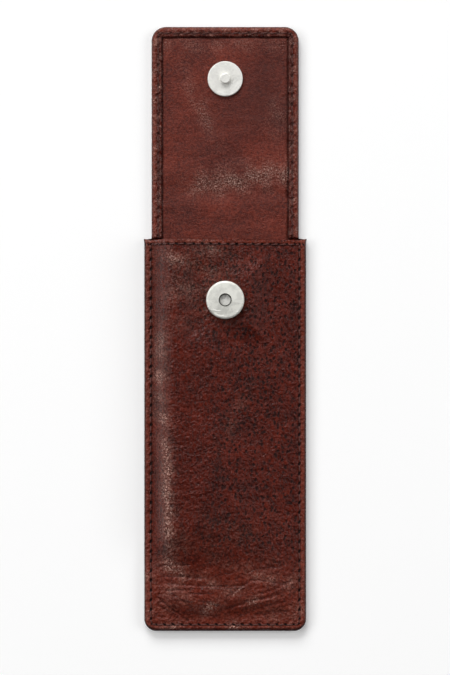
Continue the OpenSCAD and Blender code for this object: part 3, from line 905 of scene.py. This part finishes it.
# Painted shade in the creases' valleys
edge = np.maximum(edge, 0.75 * valleys(x, y, CREASE_SHADE_LINES))
flank_x = mix(-20.3, -24.0, smooth((y + 40) / 70))
# Painted highlight along the lane's left flank
rub = 0.85 * bump((x - flank_x) / 3.0) * smooth((48 - y) / 14) * smooth((y + 50) / 12)
for share, at_x, wide, at_y, long in LIGHTER_PATCHES:
    rub = rub + share * bump((x - at_x) / wide) * bump((y - at_y) / long)
# Painted sheen over the upper left, and a light scratch
rub = rub + 0.5 * bump((x + 13) / 16) * smooth((y - 32) / 26) + 0.7 * valleys(x, y, SCRATCH)
# Painted sheen on a soft diagonal wave, and lighter along the rim
rub = rub + 0.30 * bump((x + 0.5 - 0.45 * (y + 2)) / 2.6) * bump((y - 7) / 10) + 0.25 * bump(gap / 2.5)
foot = smooth((-42 - y) / 13)
rub = rub + foot * (0.22 + 0.25 * waves(x + 0.6 * y, 1.6 * y - x, 12, 63))
rub = np.clip(rub * (0.65 + 0.5 * waves(x, y, 9, 61)) + 0.01, 0, 1)
pored = 0.2 + 0.8 * smooth((x + 14) / 16 + smooth((y - 20) / 30) * 0.4)
pored = pored * (1 - 0.7 * smooth((-38 - y) / 12)) * smooth((gap - 2.2) / 1.5)
# Redder along the rim, the mouth's roll and the foot; on the rounded rim and roll this is painted highlight
warm = np.clip(bump((gap - 1.3) / 0.9) + 0.8 * bump((from_mouth - 0.9) / 0.7) + 0.6 * foot, 0, 1)
front_looks = {"edge": edge, "rub": rub, "pored": pored, "warm": warm}
print("mean shares", {key: value.mean().round(2) for key, value in front_looks.items()})

# %% Front leather's skin
front = skin("front_leather_skin", front_top, front_low, leather,
             {**seams, **front_looks}, {"edge": 0.3}, (1, 4))
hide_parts("front_leather")
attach(front, "pocket")

# %% [markdown]
# ## Back, rise and flap
#
# Back, rise, spine and flap are one sheet of leather. It is cut here at the middle of the spine only,
# between the two fold lines. Along the rise and the flap the leather is turned over to the inside, which
# makes a raised hem with a rounded outer edge.

# %% Hem shape
# HEM_HOLE_SHADE is how dark the painted shade in the hem's stitch holes is
HEM_HOLE_SHADE, HEM_EDGE, HEM_ROUND, PANEL_ROUND = 0.55, 0.6, 1.5, 1.2
UP = np.array([0, 0, 1.0])
PLEATS = [(45, 0.34), (22, 0.14), (68, 0.16)]


def hem_height(x, y, inner):
    """Upper face of a hemmed strip: the hem's roll, then down to the single leather under the lining."""
    roll = hem_z - 0.10 * smooth((1.2 - inner) / 1.2)
    roll = roll + 0.05 * waves(x, y, 4.5, 21) + 0.03 * waves(x, y, 1.8, 22)
    wander = 3.72 + 0.10 * waves(x + 3 * y, y, 9, 23)
    return mix(roll, back_t, smooth((inner - wander) / 0.55))


def pleats(x, y, corner_x, corner_y):
    """Radial pleats where the hem turns a corner: each has its turn in degrees and its depth."""
    dx, dy = np.abs(x) - corner_x, y - corner_y
    turn, reach = np.arctan2(dy, dx), np.hypot(dx, dy)
    inside = smooth((dx + 0.5) / 1.0) * smooth((dy + 0.5) / 1.0) * smooth(reach / 1.5)
    return -inside * sum(depth * bump((turn - math.radians(at)) / 0.09) for at, depth in PLEATS)


def under_face(x, y, lines):
    """The outer face, which lies on the table, with the seams' grooves pressed up into it."""
    table = heights(x, y, 0.0)
    press, places = sew(table, lines, groove=0.34)
    return table + UP * np.maximum(press, 0)[..., None], places


def toward(seat, face, fill):
    """Draws a face in to the seat where the rim is rounded."""
    return seat + (face - seat) * fill[..., None]


def hem_looks(x, y, gap, inner, share):
    """Burnished edge and painted shadow at the hem's step, worn dye with painted sheen, and a redder roll
    with painted highlight; share is 1 on the hem and 0 on the plain back.
    """
    edge = (1 - smooth((gap - 0.1) / 0.85)) * mix(1.0, HEM_EDGE, share)
    # Painted shadow along the hem's inner step
    dark = np.maximum(edge, bump((inner - 4.1) / 0.42) * share)
    rub = (0.32 + 0.26 * waves(x, y, 3.5, 62)) * share
    return edge, {"edge": dark, "rub": rub, "warm": bump((gap - 0.8) / 0.9)}


hem_across = hem_height(np.linspace(27, 22, 6), np.full(6, 120.0), np.linspace(0.3, 5.3, 6))
print("height across the hem", hem_across.round(2))


# %% Back and rise: their grid
def back_half(y):
    """Half width of the back: the pocket's up to the mouth, then the flap's."""
    on_pocket = rounded_half(body_half, corner_r, foot_y + corner_r - y)
    on_rise = mix(body_half, flap_half, smooth((y - mouth_y - 0.15) / 0.35))
    return np.where(y < mouth_y + 0.15, on_pocket, on_rise)


xs = grid_lines(-body_half, body_half, CROSS / 6, 0.0)
ys = np.concatenate([
    grid_lines(foot_y, mouth_y, STEP_ALONG, side_holes[0], True, False),
    mouth_y + np.array([0.15, 0.22, 0.3, 0.38, 0.46, 0.6, 0.8]),
    grid_lines(mouth_y + 1.05, mid_spine, STEP_ALONG, rise_holes[0], False, False),
])
half = back_half(ys)
x, y = spread_grid(xs, ys, half, body_half - CORNER_BAND)
inner = half[:, None] - np.abs(x)
on_rise = smooth((y - mouth_y - 0.1) / 0.8)
pocket_gap = edge_gap(x, body_half, corner_r, foot_y + corner_r - y)
gap = np.where(y < mouth_y, pocket_gap, np.minimum(inner, CORNER_BAND))
print("back grid", x.shape)

# %% Back and rise: their skin
flat = heights(x, y, mix(back_t, np.maximum(hem_height(x, y, inner), back_t), on_rise))
press, seams = sew(flat, rise_seams, shown=HEM_HOLE_SHADE)
top = flat - UP * (press * on_rise)[..., None]
low, under_seams = under_face(x, y, [pocket_seam, *rise_seams])
seat = heights(x, y, mix(back_t, hem_z / 2, on_rise))
back_top = toward(seat, top, mix(1.0, rounded(gap, HEM_ROUND), on_rise))
back_low = toward(seat, low, mix(rounded(pocket_gap, PANEL_ROUND), rounded(gap, HEM_ROUND), on_rise))
edge, looks = hem_looks(x, y, gap, inner, on_rise)
back = skin("back_leather_skin", back_top, back_low, leather,
            {**seams, **looks}, {**under_seams, "edge": edge, "rub": 0.08, "pored": 0.6})
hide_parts("back_leather", "spine_leather")

# %% [markdown]
# ### Where the bends start and end
#
# Each bend round a fold line is given by two places, one to each side of it. Each reaches so far to both
# sides of its fold line that the two nearly meet in the middle of the spine.

# %% Bends at the two fold lines
BEND = 4.4


def bend_ends(fold):
    """Where a bend round a fold line starts and ends, in metres."""
    return (0, (fold - BEND) * MM, fold_z * MM), (0, (fold + BEND) * MM, fold_z * MM)


LOWER_BEND, UPPER_BEND = bend_ends(fold_a), bend_ends(fold_b)
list(LOWER_BEND)
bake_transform(back)
print("lower bend", LOWER_BEND, "upper bend", UPPER_BEND)

# %% [markdown]
# ### Flap leather
#
# The flap is hemmed on three sides, and its two corners are round. Leather that is turned over round a
# corner has too much edge, so a maker gathers it into small pleats that point to the corner's middle.

# %% Flap leather
tip_start = tip_y - flap_corner_r
xs = grid_lines(-flap_half, flap_half, STEP_ALONG, 0.0)
ys = grid_lines(mid_spine, tip_y, STEP_ALONG, flap_side_holes[0], False, True)
half = rounded_half(flap_half, flap_corner_r, ys - tip_start)
x, y = spread_grid(xs, ys, half, flap_half - hem_w)
inner = np.minimum(flap_half - np.abs(x), tip_y - y)
gap = edge_gap(x, flap_half, flap_corner_r, y - tip_start)
hem = np.maximum(hem_height(x, y, inner), back_t)
flat = heights(x, y, hem + pleats(x, y, flap_half - hem_w, tip_y - hem_w))
press, seams = sew(flat, [flap_seam], shown=HEM_HOLE_SHADE)
low, under_seams = under_face(x, y, [flap_seam])
fill, seat = rounded(gap, HEM_ROUND), heights(x, y, hem_z / 2)
flap_top, flap_low = toward(seat, flat - UP * press[..., None], fill), toward(seat, low, fill)
edge, looks = hem_looks(x, y, gap, inner, 1.0)
flap = skin("flap_leather_skin", flap_top, flap_low, leather,
            {**seams, **looks}, {**under_seams, "edge": edge, "rub": 0.08, "pored": 0.6})
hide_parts("flap_leather")
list(UPPER_BEND)
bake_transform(flap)

# %% [markdown]
# ## Linings
#
# A thinner, smoother leather lines the rise and the flap and runs on into the pocket. Its edge is tucked
# under the hem, so it dips there, and there it is painted dark as shade. Between the fold lines there is no
# board under it, so it lies a little lower, and years of folding have left a soft, crackled band, which is
# also painted lighter as sheen. It swells over the boards' ends, which keeps them covered when the flap
# bends.

# %% Shape, wear and painted sheen of the linings
def bend_memory(x, y):
    """Where folding has left its mark: a band across the spine, strongest on the right."""
    return bump((y - 94.2 - 0.14 * x) / 4.4) * smooth((x + 20) / 16)


def lining_height(x, y, inner):
    spine = smooth((y - fold_a + 0.5) / 4.5) * smooth((fold_b + 0.5 - y) / 4.5)
    over_boards = bump((y - fold_a + 1.6) / 2.4) + bump((y - fold_b - 1.6) / 2.4)
    tuck = 0.42 * (1 - 0.9 * over_boards) * bump((inner - hem_w) / 0.55)
    soft = 0.16 * waves(x, y, 17, 41) + 0.07 * waves(x, y, 6, 42)
    slant = -0.35 * bump((x + 8.3 + 0.44 * (y - 122.5)) / 3.0) * bump((y - 121) / 12)
    wrinkles = 0.10 * waves(0.6 * x, y, 2.6, 46) * bend_memory(x, y)
    snap = 1 - bump(np.hypot(x, y - stud_y) / 9)
    level = lining_z - 0.2 * spine + 0.15 * over_boards
    return level - tuck + snap * (soft * (1 + 1.2 * spine) + slant) + wrinkles


def lining_wear_and_sheen(x, y):
    # Painted sheen along a soft diagonal fold
    slant = bump((x + 9.7 + 0.44 * (y - 122.5)) / 2.8) * bump((y - 121) / 11)
    side = bump((x - 18.5) / 4) * bump((y - 119) / 7)
    patchy = 0.55 + 0.45 * waves(x, y, 7, 44)
    # Painted sheen along the top
    top = bump((y - 145) / 3)
    # The folded band is worn, and is also painted lighter as sheen
    wear_and_painted_light = 1.1 * bend_memory(x, y) + 0.6 * slant + 0.45 * side + 0.3 * top
    return np.clip(wear_and_painted_light * patchy + 0.04, 0, 1)


def lining_shade(x, y):
    """Darker in the middle, most of all to the right of the stud."""
    return np.clip(0.75 * bump((x - 12) / 13) * bump((y - 123) / 22) + 0.3 * waves(x, y, 30, 47), 0, 1)


def lining_looks(x, y, inner, share=1.0):
    """Wear, painted sheen and darkening of a lining; share is 1 where its edge goes under a hem, painted
    dark there as shade.
    """
    # Painted shade where the lining goes under the hem's edge
    tucked = share * bump((inner - hem_w) / 0.4)
    return {"rub": lining_wear_and_sheen(x, y), "shade": lining_shade(x, y), "edge": tucked}


rise_and_spine = lining_height(np.zeros(2), np.array([80.0, mid_spine]), np.full(2, 20.0))
print("lining's height on the rise and on the spine", rise_and_spine.round(2))

# %% Back lining
TUCK, LINING_STEP = 0.25, 0.45
UNDER = UP * (lining_t - 0.05)
pit_half = flap_half - hem_w
FOOT_ROWS = foot_y + np.array([0.3, 0.5, 0.8, 1.2, 1.8, 2.6, 3.6, 4.6])
pit_xs = grid_lines(-pit_half - TUCK, pit_half + TUCK, 0.5, 0.0)
ys = np.concatenate([
    FOOT_ROWS,
    np.arange(foot_y + 6, 62, 3.0),
    np.arange(63, mouth_y - 1, 1.0),
    grid_lines(mouth_y - 0.5, mid_spine, LINING_STEP, mouth_y, False, False),
])
x, y = spread_grid(pit_xs, ys, pit_half + TUCK, pit_half - 2)
wide = smooth((mouth_y - 0.4 - y) / 0.8)
full_half = rounded_half(body_half - 0.3, corner_r - 0.3, foot_y + corner_r - ys)[:, None]
x = x * mix(1.0, full_half / (pit_half + TUCK), wide)
inner = flap_half - np.abs(x)
in_pocket = smooth((mouth_y - 0.2 - y) / 0.5)
over_board = smooth((pit_half + 0.4 - np.abs(x)) / 0.9)
pocket_z = back_t + lining_t + board_t * over_board
top = heights(x, y, mix(lining_height(x, y, inner), pocket_z, in_pocket))
back_lining = skin("back_lining_skin", top, top - UNDER, lining,
                   lining_looks(x, y, inner, 1 - in_pocket), strides=(1, 3))
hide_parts("back_lining", "spine_lining")
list(LOWER_BEND)
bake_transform(back_lining)

# %% Flap lining
ys = grid_lines(mid_spine, tip_y - hem_w + TUCK, LINING_STEP, stud_y, False, True)
x, y = spread_grid(pit_xs, ys, pit_half + TUCK, pit_half - 2)
inner = np.minimum(flap_half - np.abs(x), tip_y - y)
top = heights(x, y, lining_height(x, y, inner))
flap_lining = skin("flap_lining_skin", top, top - UNDER, lining,
                   lining_looks(x, y, inner), strides=(1, 3))
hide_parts("flap_lining")
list(UPPER_BEND)
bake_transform(flap_lining)


# %% [markdown]
# ### Front lining
#
# The front is lined too, with the thinnest leather, glued to its inner face and turned in under the
# mouth's hem. It follows the front's own shape, one thickness further in, and round the snap it lies lower
# because it covers the washer.

# %% Front lining, glued to the front's inner face
xs = np.linspace(-body_half + 0.3, body_half - 0.3, 80)
ys = np.concatenate([FOOT_ROWS, np.linspace(foot_y + 6, mouth_y - mouth_hem + 0.3, 80)])
half = rounded_half(body_half - 0.3, corner_r - 0.3, foot_y + corner_r - ys)
x, y = spread_grid(xs, ys, half, body_half - CORNER_BAND)
flat = heights(x, y, front_height(x, y) + front_relief(x, y))
up = grid_normals(flat)
from_snap = np.maximum(np.abs(x), np.abs(y - socket_y))
dip = 0.8 * (1 - smooth((from_snap - seat_half) / 4))[..., None]
top, low = flat - up * (front_t - 0.02 + dip), flat - up * (cover_t + dip)
front_lining = skin("front_lining_skin", top, low, lining, {"rub": 0.1}, {"rub": 0.1})
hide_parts("front_lining")
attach(front_lining, "pocket")


# %% [markdown]
# ## Thread
#
# Each stitch is a short length of waxed thread that comes up in one hole, lies in the groove and goes
# down in the next. It is a tube swept over the leather's own height, because copies of one ready-made
# stitch wouldn't follow the front where it climbs. It is a little slanted, because each needle passes on
# the other side of the other thread.

# %% One stitch
THREAD_R, SIDES, RINGS = 0.24, 8, 9
STITCH_GAP, STITCH_SLANT, STITCH_SINK = 0.13, 0.16, 0.4
ROUND = np.linspace(0, math.tau, SIDES, endpoint=False)
ALONG = np.linspace(0, 1, RINGS)


def unit(vectors):
    return vectors / np.linalg.norm(vectors, axis=1, keepdims=True)


def tube(a, b, surface, face):
    """Rings of points for the stitch from hole a to hole b; face is 1 above the leather, -1 below."""
    run = (b - a) / np.linalg.norm(b - a)
    side = np.array([-run[1], run[0]])
    t = STITCH_GAP + (1 - 2 * STITCH_GAP) * ALONG
    flat = a + (b - a) * t[:, None] + side * (STITCH_SLANT * (2 * ALONG - 1))[:, None]
    x, y = flat.T
    slope = (surface(x + 0.05, y) - surface(x - 0.05, y)) / 0.1
    normal = unit(np.stack([-slope, 0 * slope, 1 + 0 * slope], 1) * face)
    arch = 1 - np.abs(2 * ALONG - 1) ** 5
    lift = arch * (THREAD_R + STITCH_SINK) - STITCH_SINK - THREAD_R * 0.55
    centre = np.stack([x, y, surface(x, y)], 1) + normal * lift[:, None]
    tangent = unit(np.gradient(centre, axis=0))
    across = unit(np.cross(normal, tangent))
    upward = np.cross(tangent, across)
    ring = across[:, None] * np.cos(ROUND)[:, None] + upward[:, None] * np.sin(ROUND)[:, None]
    fat = THREAD_R * (0.8 + 0.2 * arch)
    return (centre[:, None] + ring * fat[:, None, None]).reshape(-1, 3)


def tube_faces(start):
    """Faces of the stitch whose points start at this number: the sides, then the two ends."""
    number = start + np.arange(RINGS * SIDES).reshape(RINGS, SIDES)
    after = np.roll(number, -1, axis=1)
    sides = np.stack([number[:-1], after[:-1], after[1:], number[1:]], axis=2)
    return [*sides.reshape(-1, 4).tolist(), number[0, ::-1].tolist(), number[-1].tolist()]


print("one stitch has", RINGS * SIDES, "points and", len(tube_faces(0)), "faces")


# %% Rows of stitches
def stitches(name, lines, surface, face):
    """A stitch between each two neighbouring holes; surface gives the leather's height."""
    points, faces, hides = [], [], []
    for line in map(np.array, lines):
        for a, b in zip(line, line[1:]):
            start = len(points) * RINGS * SIDES
            points.append(tube(a, b, surface, face))
            faces += tube_faces(start)
            along = np.repeat(np.linalg.norm(b - a) * ALONG, SIDES)
            around = np.tile(ROUND * THREAD_R, RINGS)
            hides.append(np.stack([along, around, np.full(len(along), start % 97)], 1))
    made = piece(name, np.concatenate(points), faces, thread)
    hold(made.data, "hide", "FLOAT_VECTOR", hides)
    print(name, len(points), "stitches")
    return made


def flat_hem(x, y):
    return np.full(np.shape(x), hem_z)


def back_face(x, y):
    return np.zeros(np.shape(x))


pocket_thread = stitches("pocket_stitches", [pocket_seam], front_height, 1)
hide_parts("pocket_seam_thread")
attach(pocket_thread, "pocket")
mouth_thread = stitches("mouth_stitches", [mouth_seam], front_height, 1)
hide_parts("mouth_seam_thread")
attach(mouth_thread, "pocket")
under_thread = stitches("back_stitches", [pocket_seam], back_face, -1)
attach(under_thread, "pocket")
rise_thread = stitches("rise_stitches", rise_seams, flat_hem, 1)
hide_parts("rise_seam_thread", "spine_seam_thread")
flap_thread = stitches("flap_stitches", [flap_seam], flat_hem, 1)
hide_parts("flap_seam_thread")
under_rise = stitches("rise_back_stitches", rise_seams, back_face, -1)
under_flap = stitches("flap_back_stitches", [flap_seam], back_face, -1)
for bent in (rise_thread, under_rise):
    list(LOWER_BEND)
    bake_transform(bent)
for bent in (flap_thread, under_flap):
    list(UPPER_BEND)
    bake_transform(bent)


# %% [markdown]
# ## Snap
#
# The snap's two halves are stamped, then nickel plated and brushed. Their solids have the right shape,
# so they keep it, and only the finish is new: a soft brushed grain, faint blotches and, on the part of
# the socket that the other half rubs, scratches. That lower part of the socket is also painted darker
# grey, as shade.

# %% Metal finishes
def nickel_finish(name, colour, spots, rough, shade_and_wear_from, stippled):
    """Nickel plate; below shade_and_wear_from, in millimetres along the sleeve, it is painted darker as
    shade, and the other half has rubbed it.
    """
    finish = Finish(name)
    place = finish.node("ShaderNodeTexCoord", out=3)
    along = finish.node("ShaderNodeSeparateXYZ", None, {0: place}, out=1)
    brush = finish.noise(place, 900.0, 2.0, 0.5, stretch=(1.0, 0.12, 1.0))
    scratch = finish.noise(place, 700.0, 2.0, 0.6, stretch=(0.25, 1.0, 1.0)).between(0.56, 0.66)
    blotch = finish.noise(place, 230.0, 4.0, 0.6)
    speck = finish.noise(place, 1300.0, 2.0, 0.5)
    # The socket's lower part, painted darker as shade and scratched
    wear_and_painted_light = 1 - along.between((shade_and_wear_from - 6) * MM, shade_and_wear_from * MM)
    grey = tuple(c * 0.62 for c in colour)
    tint = finish.mixed(blotch.between(0.42, 0.62) * spots, colour, grey)
    # Painted shade: the socket's lower part in darker grey
    tint = finish.mixed(wear_and_painted_light * (0.35 + blotch.between(0.46, 0.58) * 0.5), tint, grey)
    tint = finish.mixed(wear_and_painted_light * scratch * 0.8, tint, (0.98, 0.97, 0.92))
    gloss = rough + brush * 0.14 + blotch * 0.10
    return finish.surface(Base_Color=tint, Metallic=0.36, Roughness=gloss,
                          Normal=finish.relief(brush * 0.3 + speck * stippled + scratch * wear_and_painted_light, 0.00008))


def plain_finish(name, colour, metallic, rough, scale):
    finish = Finish(name)
    place = finish.node("ShaderNodeTexCoord", out=3)
    grain = finish.noise(place, scale, 4.0)
    tint = finish.mixed(grain, tuple(c * 0.8 for c in colour), colour)
    return finish.surface(Base_Color=tint, Metallic=metallic, Roughness=rough + grain * 0.2,
                          Normal=finish.relief(grain, 0.00003))


socket_nickel = nickel_finish("socket_nickel", (0.97, 0.965, 0.895), 0.5, 0.42, socket_y + 2, 0.5)
stud_nickel = nickel_finish("stud_nickel", (0.97, 0.96, 0.91), 0.3, 0.40, foot_y, 1.6)
steel = plain_finish("stamped_steel", (0.42, 0.41, 0.38), 1.0, 0.35, 900.0)
ferrite = plain_finish("sintered_magnet", (0.045, 0.043, 0.046), 0.0, 0.6, 1500.0)
fibre = plain_finish("fibre_board", (0.45, 0.33, 0.19), 0.0, 0.75, 700.0)
print("metals made")

# %% Finishes on the solids that keep their shape
FINISHES = {
    "socket_shell": socket_nickel, "socket_pole": stud_nickel, "socket_magnet": ferrite,
    "socket_base": steel, "socket_prongs": steel, "socket_washer": steel,
    "stud_plate": stud_nickel, "stud_post": stud_nickel, "stud_prongs": steel, "stud_washer": steel,
    "back_board": fibre, "flap_board": fibre,
}
for name, finish in FINISHES.items():
    mesh = nodes[name].data
    mesh.materials.clear()
    mesh.materials.append(finish)
    mesh.polygons.foreach_set("material_index", [0] * len(mesh.polygons))
print("finished", len(FINISHES), "solids")

# %% [markdown]
# ## The visual model's box
#
# The visual model has to stay in the packed model's box, apart from a little that leather may stand
# proud.
